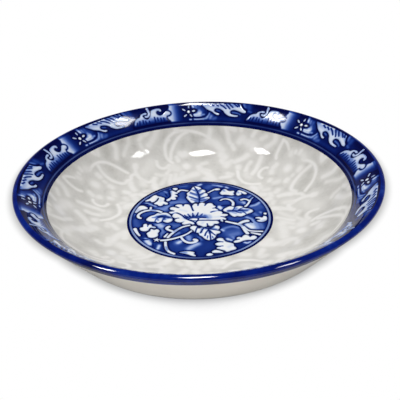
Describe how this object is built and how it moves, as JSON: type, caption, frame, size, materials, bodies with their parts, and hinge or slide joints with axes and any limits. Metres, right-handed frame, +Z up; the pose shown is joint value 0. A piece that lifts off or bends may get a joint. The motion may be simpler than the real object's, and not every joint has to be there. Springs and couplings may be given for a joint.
{
  "type": "soy sauce dish",
  "caption": "Shallow round porcelain dish on a foot ring, with a cobalt lip, a blue-and-white wave border, a pale scroll well and a flower medallion; holds soy sauce at table.",
  "frame": {"origin": "centre of the foot ring, on the table", "axes": "+Z up along the axis of the dish; the front of the picture is -Y, and the medallion's flower reads upright from there"},
  "size_m": [0.11, 0.11, 0.0245],
  "materials": {
    "porcelain": "fired clay body under the glaze",
    "bare_porcelain": "unglazed, ground flat",
    "outer_glaze": "glossy warm grey glaze",
    "well_glaze": "glossy pale glaze with a tone-on-tone scroll",
    "navy_glaze": "glossy dark cobalt",
    "cobalt_print": "glossy cobalt under glaze",
    "pale_blue_print": "glossy pale blue under glaze",
    "white_enamel": "glossy white, slightly raised"
  },
  "bodies": {
    "root": {"porcelain_body": "porcelain", "foot_ring": "bare_porcelain", "base_glaze": "outer_glaze", "outer_glaze": "outer_glaze", "well_glaze": "well_glaze", "lip_band": "navy_glaze", "border_print": "cobalt_print", "border_line": "pale_blue_print", "border_crests": "white_enamel", "border_waves": "white_enamel", "border_blossoms": "white_enamel", "medallion_print": "cobalt_print", "medallion_line": "pale_blue_print", "medallion_flower": "white_enamel", "medallion_leaves": "white_enamel", "medallion_sprigs": "white_enamel", "medallion_vines": "white_enamel"}
  },
  "joints": []
}
